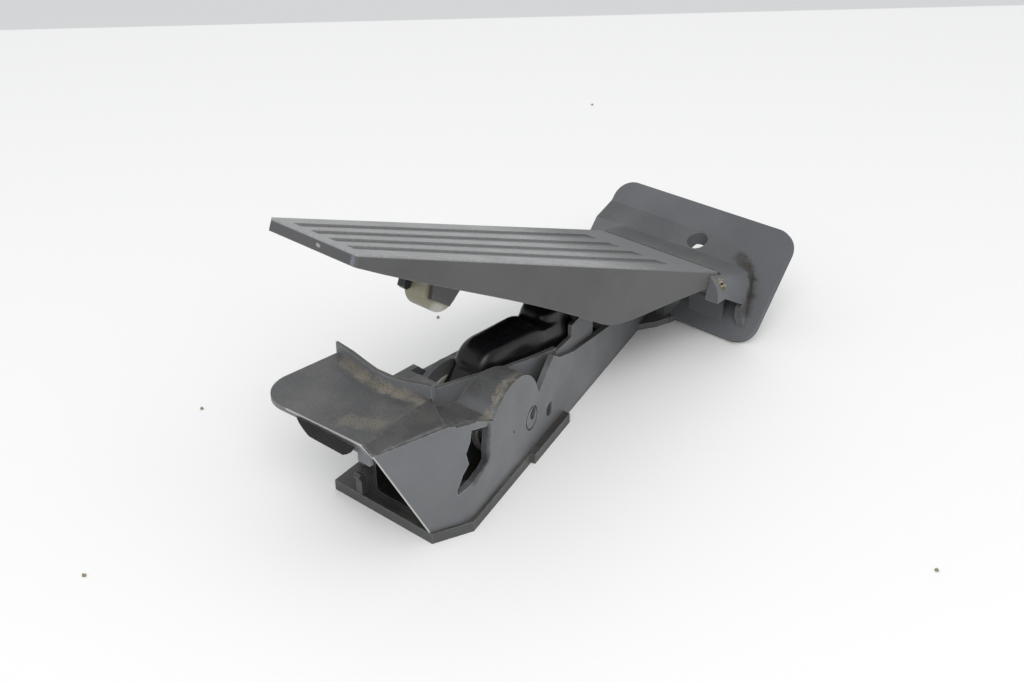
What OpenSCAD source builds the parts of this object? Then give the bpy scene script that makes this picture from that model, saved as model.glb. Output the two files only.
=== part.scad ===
// Floor-hinged accelerator pedal. X runs across the pad, Y from the heel towards the toe, Z up.
// The origin is on the floor, under the middle of the hinge pin.

/* [Treadle] */
// Length of the foot pad along its slope
pad_length = 221; // [200:1:232]
// Slope of the foot pad at rest, in degrees
pad_angle = 21.8; // [20.5:0.1:24]
// Width of the foot pad at the heel
pad_heel_w = 66; // [64:1:70]
// Width of the foot pad at the toe
pad_toe_w = 44; // [36:1:48]
// Thickness of the top plate
plate_t = 3; // [2.5:0.1:3.5]
// Thickness of the side skirts
skirt_t = 2.5; // [2:0.1:3]
// Depth of the skirt at the toe
toe_depth = 4.6; // [4:0.2:8]
// Greatest depth of the skirt, below the top face
belly_depth = 24.7; // [22:0.1:26]
// Distance of the deepest point from the hinge
belly_s = 76; // [70:1:82]
// Number of grooves in the top face
groove_count = 4; // [3:1:5]
// Depth of the grooves
groove_depth = 0.8; // [0.6:0.1:1.4]
// Plain border between the grooves and the toe edge
groove_border = 5; // [3:1:20]

/* [Hinge] */
// Height of the hinge pin above the floor
hinge_z = 33.5; // [33:0.1:35]
// Radius of the hinge pin
pin_r = 2.5; // [2:0.1:2.8]
// Radius of the treadle's hinge barrel
barrel_r = 5; // [4.6:0.1:5.4]
// Travel of the treadle, in degrees
treadle_travel = 12.5; // [11:0.5:12.5]

/* [Heel plate] */
// Width of the heel plate
heel_w = 102.5; // [96:0.5:108]
// Length of the heel plate along its slope
heel_l = 57; // [54:0.5:60]
// Thickness of the heel plate
heel_t = 3; // [2.5:0.1:4]
// Corner radius of the heel plate
heel_corner_r = 10; // [6:0.5:13]
// Radius of the screw hole
screw_hole_r = 5; // [4:0.1:6]
// Distance of the screw hole behind the hinge
screw_hole_back = 32.7; // [33:0.1:38]
// Height above the floor at which the sleeve round the screw hole starts
sleeve_z = 28.8; // [26:0.2:29]
// Height of the hinge block above the back of the heel plate
block_h = 9; // [8:0.5:11]
// Wall of the hinge block
bridge_t = 3; // [2.6:0.1:3.6]

/* [Housing] */
// Wall thickness of the base moulding
wall = 2.5; // [2:0.1:3]
// Angle at which the near side wall flares out
flare_angle = 15; // [14:0.5:16]
// Angle at which the toe panel turns back in
toe_turn = 22; // [18:1:24]
// Distance of the lever shaft from the hinge
lever_y = 137; // [135:0.5:139]
// Height of the lever shaft
lever_z = 22; // [21:0.2:23.5]
// Outer radius of the drum roof round the lever shaft
drum_r = 23; // [22:0.2:24]
// Thickness of the bottom cover
cover_t = 4.5; // [4:0.1:5]
// Height of the carpet guard's top face
guard_z = 50; // [48:0.5:53]
// Thickness of the carpet guard
guard_t = 1.8; // [1.4:0.1:2.4]

/* [Lever] */
// Width of the drive lever
lever_w = 17; // [14:0.5:17.4]
// Radius of the lever's rounded nose
nose_r = 5; // [4:0.1:5.5]
// Turn of the lever for each degree of the treadle
lever_ratio = 1.3; // [1.25:0.01:1.4]
// Radius of the lever shaft
shaft_r = 3; // [2.6:0.1:3.4]
// Outer radius of the plain bush in the lever
bush_r = 4.6; // [4.2:0.1:5]
// Wire radius of the outer return spring
wire_r = 0.9; // [0.7:0.05:1]
// Number of turns of each return spring
spring_turns = 2; // [1:0.5:2]

/* [Fits] */
// Radial clearance of a pin that turns in its bore
running = 0.05; // [0.02:0.01:0.1]
// Gap between parts that move past each other
gap = 0.35; // [0.3:0.05:0.5]

/* [Hidden] */

// Colours, as the mouldings show them
grey_plastic = [0.36, 0.37, 0.38];
arm_plastic = [0.42, 0.43, 0.45];
dark_plastic = [0.12, 0.12, 0.13];
steel = [0.62, 0.62, 0.60];

// Heel plate frame: its front edge on the floor, its slope measured from the floor
heel_slope = 49.2;
heel_y = -12;
heel_x0 = -48;
screw_hole_x = -1.9;
heel_x1 = heel_x0 + heel_w;

// Treadle frame: s along the pad from the hinge, h square to it
top_h = 5.6;
under_h = top_h - plate_t;
pad_s0 = -1;
toe_wall = 3;

// Plan of the base
near_y0 = 13;
toe_crease_y = 173;
base_toe_y = 189;
far_x = 15.5;
far_bend_y = 80;
far_flare = 7;
inner_x = -16;
inner_t = 2;
lever_x0 = -14.5;
lever_x1 = lever_x0 + lever_w;
far_arch_x = 4;
far_arch_t = 2.5;
cover_heel_y = 91;
near_tan = tan(flare_angle);
near_cos = cos(flare_angle);
function near_x(y) = -(y - near_y0) * near_tan;
function near_w(y) = (y - near_y0) / near_cos;
crease_x = near_x(toe_crease_y);
function toe_x(y) = crease_x + (y - toe_crease_y) * tan(toe_turn);

// Turning a point [y, z] about the origin, counted from Y towards Z
function turn(p, a) = [p[0] * cos(a) - p[1] * sin(a), p[0] * sin(a) + p[1] * cos(a)];
hinge_yz = [0, hinge_z];
shaft_yz = [lever_y, lever_z];

// Nose of the lever at rest, in the treadle frame and in the floor frame
nose_s = 76.4;
shoe_t = 3.5;
nose_h = under_h - shoe_t - gap - nose_r;
nose_yz = hinge_yz + turn([nose_s, nose_h], pad_angle);

// Where the nose lies in the treadle frame when the treadle has gone down by t degrees
function nose_in_pad(t) =
    turn(shaft_yz + turn(nose_yz - shaft_yz, lever_ratio * t) - hinge_yz, t - pad_angle);
// Track of the slide shoe: the nose's path, moved out by its radius and the gap
track_steps = 12;
track_dt = (treadle_travel + 2) / track_steps;
function track_point(t) =
    let (a = nose_in_pad(t - 0.1), b = nose_in_pad(t + 0.1), d = (a - b) / norm(a - b))
    nose_in_pad(t) + (nose_r + gap) * [-d[1], d[0]];
shoe_s0 = 55;
shoe_s1 = 84;

// Cubic curve through two ends and two handles
function bezier(a, b, c, d, t) =
    a * pow(1 - t, 3) + 3 * b * t * pow(1 - t, 2) + 3 * c * t * t * (1 - t) + d * pow(t, 3);
curve_steps = 10;
skirt_handle = [[175, -12], [130, -14]];
belly = [belly_s, top_h - belly_depth];
heel_low = [pad_s0 + 2, top_h - 7.5];

// Springs: coils round the lever shaft, between the near wall and the inner wall
coil_x0 = -25.8;
outer_coil_r = 11.5;
inner_coil_r = 8;
inner_wire_r = 0.75;
carrier_x0 = -20.6;
carrier_x1 = -18.4;

// Places a profile drawn in Y and Z, and gives it a thickness along X
module across(x0, x1) {
    translate([x0, 0, 0]) rotate([90, 0, 90]) linear_extrude(x1 - x0) children();
}

// A round bar along X
module bar(x0, x1, r, p = [0, 0]) {
    translate([x0, p[0], p[1]]) rotate([0, 90, 0]) cylinder(r = r, h = x1 - x0, $fn = 64);
}

// The heel plate's own frame: Y down its slope from the rear, Z square to it
module on_heel_plate() {
    translate([0, heel_y, 0]) rotate([-heel_slope, 0, 0]) children();
}

// The treadle's own frame, with its origin on the hinge pin
module on_pad() {
    translate([0, 0, hinge_z]) rotate([pad_angle, 0, 0]) children();
}

// The near side wall's own frame: Y along the wall, Z up, X into the housing
module on_near_wall() {
    translate([0, near_y0, 0]) rotate([0, 0, flare_angle]) children();
}

// All that lies outside the near side wall, from a plane set in by the given depth
module outside_near_wall(depth) {
    on_near_wall() translate([depth - 200, -100, -1]) cube([200, 400, 100]);
}

// The far side wall of the arm, which flares out towards the heel
module on_far_arm() {
    translate([far_x, far_bend_y, 0]) rotate([0, 0, far_flare]) children();
}

// All that lies outside the far side wall
module outside_far_wall(depth) {
    on_far_arm() translate([-depth, -200, -1]) cube([200, 200, 100]);
    translate([far_x - depth, far_bend_y - 0.01, -1]) cube([200, 300, 100]);
}

// The toe panel's own frame
module on_toe_panel() {
    translate([crease_x, toe_crease_y, 0]) rotate([0, 0, -toe_turn]) children();
}

// Upright bar at the fixing screw's place
module screw_bar(r, z0, z1) {
    translate([screw_hole_x, -screw_hole_back, z0]) cylinder(r = r, h = z1 - z0, $fn = 64);
}

// Heel plate with rounded corners
module heel_plate() {
    c = heel_corner_r;
    on_heel_plate() {
        translate([heel_x0 + c, -heel_l, 0]) cube([heel_w - 2 * c, heel_l, heel_t]);
        translate([heel_x0, -heel_l + c, 0]) cube([heel_w, heel_l - 2 * c, heel_t]);
        for (x = [heel_x0 + c, heel_x1 - c], y = [-heel_l + c, -c])
            translate([x, y, 0]) cylinder(r = c, h = heel_t, $fn = 64);
    }
    // Sleeve round the screw, below the plate
    intersection() {
        screw_bar(screw_hole_r + bridge_t, sleeve_z, 60);
        heel_slab(-40, heel_t / 2);
    }
}

// Section of the hinge shelf, across the pedal: its near end turns down on a radius
shelf_x0 = -40;
shelf_round = 11.5;
ear_t = 3.6;
near_gap_x = -pad_heel_w / 2 - gap;
hinge_pin_x0 = shelf_x0 + 3.5;
far_ear_x = pad_heel_w / 2 + gap;
module shelf_section(inset, x1) {
    x0 = shelf_x0 + inset;
    r = shelf_round - inset;
    translate([0, -inset]) {
        translate([x0 + r, -r]) circle(r, $fn = 48);
        translate([x0, -60]) square([r, 60 - r]);
        translate([x0 + r, -60]) square([x1 - inset - x0 - r, 60]);
    }
}

// The shelf falls from above the hinge pin back to the crest of the block
shelf_slope = 15.6;
shelf_top = [3, 39.4];
shelf_back = 45;
module shelf_solid(inset, x1) {
    translate([0, shelf_top[0], shelf_top[1]]) rotate([90 + shelf_slope, 0, 0])
        linear_extrude(shelf_back) shelf_section(inset, x1);
}

// A slab parallel with the heel plate, from one height above its back to another
module heel_slab(h0, h1, s0 = -20) {
    on_heel_plate() translate([-100, -100, h0]) cube([200, 100 - s0, h1 - h0]);
}
module below_heel_plate() heel_slab(-80, heel_t / 2);

// Foot of the block on the heel plate: a wide curve at its near corner, then straight down the near side
fold_s = 44.5;
foot_r = 16.5;
foot_x = -20;
foot_near = [-42.8, -40.6];
module block_foot(inset, s0) {
    translate([foot_x, foot_r - fold_s]) circle(foot_r - inset, $fn = 64);
    polygon([[foot_x, inset - fold_s], [heel_x1 - inset, inset - fold_s], [heel_x1 - inset, -s0],
        [foot_near[0] + inset, -s0], [foot_near[1] + inset, -16.7]]);
}

// The block: a low platform on the plate whose sides slope in to the shelf, just inside its outline
crest_step = 0.3;
module block_solid(inset, foot_s, crest_s) {
    hull() {
        on_heel_plate() translate([0, 0, heel_t - 0.1]) linear_extrude(0.1) block_foot(inset, foot_s);
        intersection() {
            shelf_solid(inset + crest_step, heel_x1 + crest_step);
            heel_slab(block_h - 0.1 - inset, block_h - inset, crest_s);
        }
    }
}

// The block and the shelf carry the hinge pin: blind at the near end, open at the far end
block_rib_x = [-13.5, 14, far_ear_x + 10];
web_x0 = -30;
module hinge_block() {
    pin_reach = hinge_z - barrel_r - 0.5;
    difference() {
        union() {
            block_solid(0, 7, 14);
            difference() {
                shelf_solid(0, far_ear_x + ear_t);
                heel_slab(-80, block_h - 0.5);
                // The near wall's lower edge climbs to the pin
                across(heel_x0, heel_x1)
                    polygon([[-16.1, 18.5], [0, pin_reach], [20, pin_reach], [20, -40], [-16.1, -40]]);
            }
        }
        difference() {
            union() {
                block_solid(bridge_t, -12, -12);
                shelf_solid(bridge_t, far_ear_x + ear_t);
            }
            heel_slab(-80, heel_t - 0.1);
            // Solid knuckle at the near end, and a short web and ribs below the shelf
            across(shelf_x0, near_gap_x) polygon([[-7, 60], [-7, pin_reach - 4], [20, pin_reach], [20, 60]]);
            across(web_x0, block_rib_x[0] + 1) polygon([[-16, 60], [-16, 0], [-14, 0], [-14, 60]]);
            for (x = block_rib_x) across(x, x + 2) polygon([[-60, 60], [-60, 0], [-14, 0], [-14, 60]]);
            screw_bar(screw_hole_r + bridge_t + 0.1, 0, 60);
        }
        // Window over the pin's near end
        across(shelf_x0 - 1, hinge_pin_x0 + 1.5)
            polygon([[-1.6, hinge_z], [-1.6, 60], [1.2, 60], [1.2, hinge_z]]);
        // Room for the treadle's barrel
        across(near_gap_x, far_ear_x)
            polygon([[-barrel_r - 1.2, 60], [-barrel_r - 1.2, 10], [20, 10], [20, 60]]);
        below_heel_plate();
    }
    difference() {
        bar(far_ear_x, far_ear_x + ear_t, barrel_r + 0.4, hinge_yz);
        bar(far_ear_x - 1, far_ear_x + ear_t + 1, pin_r + running, hinge_yz);
    }
}

// Near side wall: low beside the arm, arched round the drum, rising to the carpet guard
arch_w = near_w(lever_y);
crease_w = near_w(toe_crease_y);
crease_r = 16;
crease_run = crease_r * tan((flare_angle + toe_turn) / 2);
wall_foot = cover_t;
leaf_w = near_w(155);
module near_wall() {
    notch_w = near_w(114.4);
    on_near_wall() difference() {
        union() {
            rotate([90, 0, 90]) linear_extrude(wall) polygon([
                [near_w(-8), 0], [near_w(cover_heel_y) - 0.4, 0], [near_w(cover_heel_y) - 0.4, wall_foot],
                [crease_w - crease_run, wall_foot], [crease_w - crease_run, 45.7], [leaf_w, 38],
                [notch_w, 27.9], [near_w(105.2), 34.5], [near_w(101), 37], [near_w(96), 33.5],
                [near_w(82), 28.6], [near_w(65), 25.1], [near_w(40), 20.2],
                [near_w(14), 16], [near_w(-8), 17]]);
            intersection() {
                translate([0, arch_w, lever_z]) rotate([0, 90, 0])
                    cylinder(r = drum_r, h = wall, $fn = 96);
                translate([-1, notch_w, lever_z]) cube([wall + 2, leaf_w - notch_w, 40]);
            }
            // Blind boss for the near end of the lever shaft
            translate([0, arch_w, lever_z]) rotate([0, 90, 0]) cylinder(r = 6, h = 4.2, $fn = 48);
        }
        leaf_slot();
        ring_mark();
        small_slot();
        translate([-1, arch_w, lever_z]) rotate([0, 90, 0]) cylinder(r = 0.7, h = 2.2, $fn = 24);
    }
}

// Leaf-shaped gap between the drum and the toe panel
module leaf_slot() {
    translate([-1, 0, 0]) rotate([90, 0, 90]) linear_extrude(wall + 7) polygon([
        [near_w(170.8), 43.6], [near_w(158.4), 38], [near_w(158.8), 33], [near_w(159.6), 29],
        [near_w(159.4), 23], [near_w(163), 21.5], [near_w(167), 21.3], [near_w(171.5), 20],
        [near_w(178), 17.2], [near_w(175), 26], [near_w(172.4), 29.5], [near_w(173.6), 34.6],
        [near_w(171.4), 39.3]]);
}

// Rounded turn between the near side wall and the toe panel
module crease_turn() {
    difference() {
        intersection() {
            on_near_wall() translate([crease_r, crease_w - crease_run, wall_foot]) difference() {
                cylinder(r = crease_r, h = 60, $fn = 96);
                translate([0, 0, -1]) cylinder(r = crease_r - wall, h = 62, $fn = 96);
            }
            on_near_wall() translate([-1, crease_w - crease_run - 0.02, 0]) cube([20, 20, 80]);
            on_toe_panel() translate([-1, crease_run - 19.98, 0]) cube([20, 20, 80]);
            across(-60, 0) polygon([[160, 0], [190, 0], [190, 49], [toe_crease_y, 46.9], [160, 43.2]]);
        }
        on_near_wall() leaf_slot();
    }
}

// Round bore with a raised ring beside it
module ring_mark() {
    translate([-1, near_w(121.5), 19.2]) rotate([0, 90, 0]) difference() {
        cylinder(r = 5.4, h = 1.8, $fn = 48);
        translate([0, 0, -1]) cylinder(r = 4.4, h = 4, $fn = 48);
    }
    translate([-1, near_w(120.3), 20.6]) rotate([0, 90, 0]) cylinder(r = 2.6, h = 9, $fn = 32);
}

// Small latch slot in the near wall
module small_slot() {
    translate([-1, near_w(103), 10.5]) rotate([90, 0, 90]) linear_extrude(wall + 2)
        polygon([[0, 0], [3.2, 0], [5, 1.6], [5, 4.4], [3.2, 6], [0, 6]]);
}

// Toe panel, turned in from the near wall
panel_top = 45;
module toe_panel() {
    on_toe_panel() rotate([90, 0, 90]) linear_extrude(wall)
        polygon([[crease_run - 0.1, wall_foot], [17.3, wall_foot], [37.8, panel_top], [8.6, 48.8],
            [crease_run - 0.1, 48.1]]);
}

// Roof of the drum, open below, between the near wall and the inner wall, just inside the wall's rim
roof_r = drum_r * near_cos - 0.1;
module drum_roof() {
    difference() {
        intersection() {
            difference() {
                bar(-45, inner_x - inner_t, roof_r, shaft_yz);
                bar(-46, inner_x, roof_r - 2.1, shaft_yz);
            }
            translate([-60, lever_y - drum_r - 1, lever_z + 3]) cube([60, 2 * drum_r - 4, 40]);
        }
        outside_near_wall(wall / 2);
    }
}

// Ledge from the drum to the carpet guard, inside the near wall and the toe panel
ledge_toe_y = 182;
module ledge() {
    difference() {
        intersection() {
            across(-60, inner_x - inner_t)
                polygon([[153.5, 37.6], [160, 39], [toe_crease_y, 45.5], [ledge_toe_y, 47.6],
                    [ledge_toe_y, 45.6], [toe_crease_y, 43.5], [160, 37], [154.6, 35.6]]);
            linear_extrude(guard_z) polygon([[near_x(150) + 1, 150], [crease_x + 1.5, toe_crease_y],
                [toe_x(ledge_toe_y) + 1, ledge_toe_y], [inner_x, ledge_toe_y], [inner_x, 150]]);
        }
        on_near_wall() leaf_slot();
    }
}

// Inner wall beside the lever
inner_y0 = 93;
inner_y1 = 171;
module inner_wall() {
    difference() {
        across(inner_x - inner_t, inner_x) polygon([[inner_y0, wall_foot + gap],
            [socket_y0 - 3, wall_foot + gap], [socket_y0 - 3, socket_z0 + socket_h + 2],
            [inner_y1, socket_z0 + socket_h + 2], [inner_y1, 50], [150, 45.6], [136, 42.5], [124, 39.6],
            [106, 36.5], [inner_y0, 35]]);
        bar(inner_x - inner_t - 1, inner_x + 1, 7.4, shaft_yz);
    }
    // Post that the outer spring hooks over
    bar(coil_x0 - 3, inner_x - 0.1, hook_r - wire_r - 0.3, [hook_y, hook_z]);
    // Step that joins the inner wall to the near wall at its heel end
    difference() {
        translate([-40, inner_y0, wall_foot + gap]) cube([40 + inner_x, wall, 26]);
        outside_near_wall(wall / 2);
    }
}

// Sensor board in the far chamber
board_x = 9.2;
board_t = 1.2;
board_posts = [[125.5, 27], [160, 24.5], [125.5, 16.5]];

// Far side wall with its shaft bore and the landing for the stop block
stop_s = 154.8;
stop_h = -11;
stop_r = 9.5;
landing_t = 1.2;
stop_down = hinge_yz + turn([stop_s, stop_h], pad_angle - treadle_travel);
landing_z = stop_down[1] - stop_r - gap - landing_t;
landing_y0 = stop_down[0] - 6;
module far_wall() {
    difference() {
        union() {
            across(far_x - wall, far_x) polygon([[far_bend_y - 0.3, 0], [cover_heel_y - 0.4, 0],
                [cover_heel_y - 0.4, wall_foot], [175, wall_foot], [175, guard_z - guard_t + 0.1],
                [165, 42], [landing_y0 + 12, landing_z], [143, landing_z], [138, 32], [105, 31],
                [far_bend_y - 0.3, 29]]);
            on_far_arm() rotate([90, 0, 90]) translate([0, 0, -wall]) linear_extrude(wall)
                polygon([[-far_bend_y - 8.6, 0], [0, 0], [0, 29], [-43, 18.5], [-66, 16],
                    [-far_bend_y - 8.6, 17]]);
        }
        bar(far_x - wall - 1, far_x + 1, shaft_r + 0.02, shaft_yz);
    }
    // Posts that the sensor board rests on
    for (p = board_posts) bar(board_x + board_t, far_x - wall + 0.1, 2, p);
}

// Arched wall on the far side of the lever
module far_arch() {
    arch_r = 17.5;
    difference() {
        union() {
            bar(far_arch_x, far_arch_x + far_arch_t, arch_r, shaft_yz);
            across(far_arch_x, far_arch_x + far_arch_t)
                polygon([[lever_y - arch_r, wall_foot + gap], [168, wall_foot + gap], [168, 26],
                    [161, landing_z], [144, landing_z], [lever_y, 30], [lever_y - arch_r, lever_z]]);
        }
        bar(far_arch_x - 1, far_arch_x + far_arch_t + 1, 7.4, shaft_yz);
        translate([-50, 0, -20]) cube([100, 300, 20 + wall_foot + gap]);
    }
    // Landing between the arched wall and the far wall
    translate([-8, landing_y0 - 1, landing_z - 2.4]) cube([far_x + 7.5, 13, 2.4]);
}

// Deck of the arm, from the heel plate to the lever opening
deck_end = 45;
module arm_deck() {
    difference() {
        across(-60, 60) polygon([[-9, 17], [14, 16], [37, 18.5], [deck_end, 20.4],
            [deck_end, 17.9], [37, 16], [14, 13.5], [-9, 14.5]]);
        outside_near_wall(wall / 2);
        outside_far_wall(wall / 2);
    }
}

// Raised guide walls beside the lever's neck: one set in from the near wall, one in from the far wall
guide_wall_t = 1.6;
guide_far_x = 10.4;
guide_top = 39;
guide_toe_y = 79;
module guide_walls() {
    on_near_wall() rotate([90, 0, 90]) translate([0, 0, wall - 0.1]) linear_extrude(guide_wall_t + 0.1)
        polygon([[near_w(inner_y0 + 1), 16], [near_w(inner_y0 + 1), 34.5], [near_w(guide_toe_y), 33.5],
            [near_w(guide_toe_y), guide_top],
            [near_w(62), guide_top], [near_w(57), guide_top - 4], [near_w(57), 16]]);
    across(guide_far_x, far_x - wall + 0.1)
        polygon([[62, 16], [92, 16], [92, 33.5], [84, 33.5], [66, 29], [62, 26]]);
}

// Ribs under the arm, and the foot under the hinge
foot_t = 3;
module arm_ribs() {
    difference() {
        union() {
            for (y = [8, 26, deck_end - wall]) translate([-60, y, 0]) cube([120, wall, 14.5]);
            translate([-60, 88, 0]) cube([120, wall, 8.5]);
        }
        outside_near_wall(wall / 2);
        outside_far_wall(wall / 2);
    }
    // Foot under the hinge, wider than the arm
    difference() {
        linear_extrude(foot_t) polygon([[-7, -12], [30, -12], [26, -8], [25, 9], [1.5, 9], [-3.5, 0]]);
        outside_far_wall(wall / 2);
        below_heel_plate();
    }
    // Web from the heel plate to the arm, hollowed in an arc
    difference() {
        translate([-6, -16, 0]) cube([34, 9, 15.8]);
        below_heel_plate();
        translate([-12, -8.4, 3]) cylinder(r = 9, h = 20, $fn = 48);
    }
}

// Carpet guard: a thin tongue with a rounded corner, a rib along its heel edge and one underneath
guard_x0 = -23.5;
guard_x1 = 30;
guard_y0 = 173.5;
guard_y1 = 212;
guard_r = 14.5;
module carpet_guard() {
    translate([0, 0, guard_z - guard_t]) linear_extrude(guard_t) polygon(concat(
        [[guard_x0, guard_y0 - 2], [guard_x1 - 2, guard_y0 - 2]],
        [for (a = [0:10:90]) [guard_x1 - guard_r + guard_r * cos(a), guard_y1 - guard_r + guard_r * sin(a)]],
        [[0, guard_y1 - 0.8], [strip_ends[1][0], strip_ends[1][1]]]));
    // Rib along the heel edge, bowed towards the toe
    translate([0, 0, guard_z - 0.5]) linear_extrude(5.6) polygon([
        [guard_x1 - 2.2, guard_y0 - 1], [17, 174.7], [8, 176.6], [1, 177.8], [-6, 177.6], [-12, 176.2],
        [guard_x0 + 0.5, 171.8], [guard_x0 + 1, 169.8], [-12, 174], [-6, 175.5], [1, 175.8], [8, 174.6],
        [17, 172.7], [guard_x1 - 2.2, 171.4]]);
    // Rib under the toe edge, and a gusset where it meets the sloping strip
    translate([guard_x0 + 1, guard_y1 - 5, guard_z - 5.5]) cube([29, 1.8, 5]);
    translate([guard_x0, guard_y1 - 3.2, guard_z]) rotate([90, 0, 0]) linear_extrude(1.8)
        polygon([[-4.4, -9], [1.6, -9], [1.6, -1.5], [-1.6, -1.5], [-4.4, -5.8]]);
}

// Sloping strip between the guard and the toe panel
strip_ends = [[guard_x0, 172.5, guard_z], [guard_x0 - 2.4, guard_y1 - 1.6, guard_z],
    [toe_x(208) + 0.3, 208, panel_top - 0.2], [toe_x(181) + 0.3, 181, 48.8]];
strip_steps = 12;
module guard_chamfer() {
    t = [0.7, 0, -1.7];
    function edge(a, b, k) = strip_ends[a] + (strip_ends[b] - strip_ends[a]) * k / strip_steps;
    // Four corners of the strip's section at each step: guard and panel edge, outside and inside
    points = [for (k = [0:strip_steps])
        each [edge(0, 1, k), edge(3, 2, k), edge(3, 2, k) + t, edge(0, 1, k) + t]];
    sides = [for (k = [0:strip_steps - 1], m = [0:3])
        let (a = 4 * k + m, b = 4 * k + (m + 1) % 4) each [[a, b, b + 4], [a, b + 4, a + 4]]];
    n = 4 * strip_steps;
    polyhedron(points, concat([[3, 2, 1, 0], [n, n + 1, n + 2, n + 3]], sides), convexity = 4);
}

// Bosses that take the cover screws
screw_inset = 5.8;
screw_spots = [[near_x(98) + screw_inset, 98], [far_x - screw_inset, 98],
    [near_x(166) + screw_inset, 166], [far_x - screw_inset, 168]];
cover_boss_r = 3.6;
cover_pilot_r = 1.5;
cover_boss_h = 8.5;
screw_l = 8.5;
module cover_bosses() {
    for (p = screw_spots) translate([p[0], p[1], wall_foot])
        cylinder(r = cover_boss_r, h = cover_boss_h, $fn = 32);
}
module cover_pilots() {
    for (p = screw_spots) translate([p[0], p[1], wall_foot - 1])
        cylinder(r = cover_pilot_r, h = cover_boss_h, $fn = 24);
}

module base_frame() color(arm_plastic) {
    difference() {
        union() {
            heel_plate();
            hinge_block();
            near_wall();
            crease_turn();
            toe_panel();
            drum_roof();
            ledge();
            inner_wall();
            far_wall();
            far_arch();
            arm_deck();
            guide_walls();
            arm_ribs();
            carpet_guard();
            guard_chamfer();
            cover_bosses();
        }
        bar(near_x(lever_y) + 1.9, near_x(lever_y) + 12, shaft_r + 0.02, shaft_yz);
        bar(hinge_pin_x0 - 0.3, far_ear_x + ear_t + 1, pin_r + running, hinge_yz);
        screw_bar(screw_hole_r, 0, 60);
        cover_pilots();
    }
}

// Bottom cover: a tray with an outer lip, a toe strip and an upright latch hook
lip = 1.5;
module cover_outline(g) {
    polygon([[near_x(cover_heel_y) - g, cover_heel_y], [near_x(toe_crease_y) - g, toe_crease_y],
        [toe_x(base_toe_y) - g, base_toe_y], [far_x - 0.5, base_toe_y], [far_x + g, 175],
        [far_x + g, cover_heel_y]]);
}
module bottom_cover() color(arm_plastic) {
    difference() {
        union() {
            linear_extrude(cover_t) cover_outline(lip);
            // Wider latch lug beside the arm
            linear_extrude(cover_t) polygon([[near_x(cover_heel_y) - 3.5, cover_heel_y],
                [near_x(124) - 3.5, 124], [near_x(124), 125], [near_x(cover_heel_y), cover_heel_y]]);
        }
        // Pocketed underside between the ribs
        translate([0, 0, -1]) linear_extrude(3) polygon([[near_x(108) + 4, 108],
            [near_x(158) + 4, 158], [far_x - 4, 158], [far_x - 4, 108]]);
        for (p = screw_spots) translate([p[0], p[1], -1]) {
            cylinder(r = 1.7, h = 10, $fn = 24);
            cylinder(r = 3.3, h = 3.2, $fn = 32);
        }
    }
    for (y = [120, 144]) translate([near_x(y) + 3.9, y, 0.2]) cube([far_x - near_x(y) - 7.8, 1.6, 2]);
    // Latch hook on the toe strip
    translate([0, base_toe_y - 4, cover_t - 0.2]) rotate([90, 0, 90]) linear_extrude(3)
        polygon([[0, 0], [3.6, 0], [3.6, 6], [5, 8.2], [3.8, 9.4], [1.4, 8], [0, 3]]);
}

module cover_screws() color(steel) {
    for (p = screw_spots) translate([p[0], p[1], 0]) {
        translate([0, 0, 0.4]) cylinder(r1 = 2.4, r2 = 2.9, h = 1.8, $fn = 32);
        translate([0, 0, 2.2]) cylinder(r = 1.45, h = screw_l, $fn = 24);
    }
}

module hinge_pin() color(steel)
    bar(hinge_pin_x0, far_ear_x + ear_t + 1.5, pin_r, hinge_yz);

// Push-on cap at the far end of the hinge pin
module pin_cap() color(steel) difference() {
    bar(far_ear_x + ear_t + 0.1, far_ear_x + ear_t + 1.3, 4.2, hinge_yz);
    bar(far_ear_x, far_ear_x + ear_t + 3, pin_r + 0.02, hinge_yz);
}

shaft_x0 = near_x(lever_y) + 2;
module lever_shaft() color(steel) difference() {
    bar(shaft_x0, far_x + 1.8, shaft_r, shaft_yz);
    // Groove for the clip
    difference() {
        bar(far_x + 0.3, far_x + 1.1, shaft_r + 1, shaft_yz);
        bar(far_x, far_x + 2, shaft_r - 0.5, shaft_yz);
    }
}

// Open retaining clip at the far end of the lever shaft
module shaft_clip() color(steel) difference() {
    bar(far_x + 0.4, far_x + 1, 5.4, shaft_yz);
    bar(far_x, far_x + 2, shaft_r - 0.45, shaft_yz);
    translate([far_x, lever_y - 1.8, lever_z - 8]) cube([3, 3.6, 8]);
}

module thrust_washers() color([0.75, 0.73, 0.66]) {
    for (x = [[inner_x + 0.05, lever_x0 - gap], [lever_x1 + gap, far_arch_x - 0.05]]) difference() {
        bar(x[0], x[1], 11, shaft_yz);
        bar(x[0] - 1, x[1] + 1, 6.9, shaft_yz);
    }
}

// A wire swept along its points with a ring of corners square to the path
wire_sides = 6;
function wire_ring(p, d, r) =
    let (t = d / norm(d), u = cross(t, [0.3, 0.2, 1]), v = u / norm(u), w = cross(t, v))
    [for (k = [0:wire_sides - 1]) p + r * (v * cos(360 * k / wire_sides) + w * sin(360 * k / wire_sides))];
module wire(path, r) {
    n = len(path);
    rings = [for (i = [0:n - 1]) wire_ring(path[i], path[min(i + 1, n - 1)] - path[max(i - 1, 0)], r)];
    points = [for (ring = rings) each ring];
    sides = [for (i = [0:n - 2], k = [0:wire_sides - 1])
        let (a = i * wire_sides, b = (k + 1) % wire_sides)
        each [[a + k, a + b, a + wire_sides + b], [a + k, a + wire_sides + b, a + wire_sides + k]]];
    first = [for (k = [wire_sides - 1:-1:0]) k];
    last = [for (k = [0:wire_sides - 1]) (n - 1) * wire_sides + k];
    polyhedron(points, concat([first, last], sides), convexity = 6);
}

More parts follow.
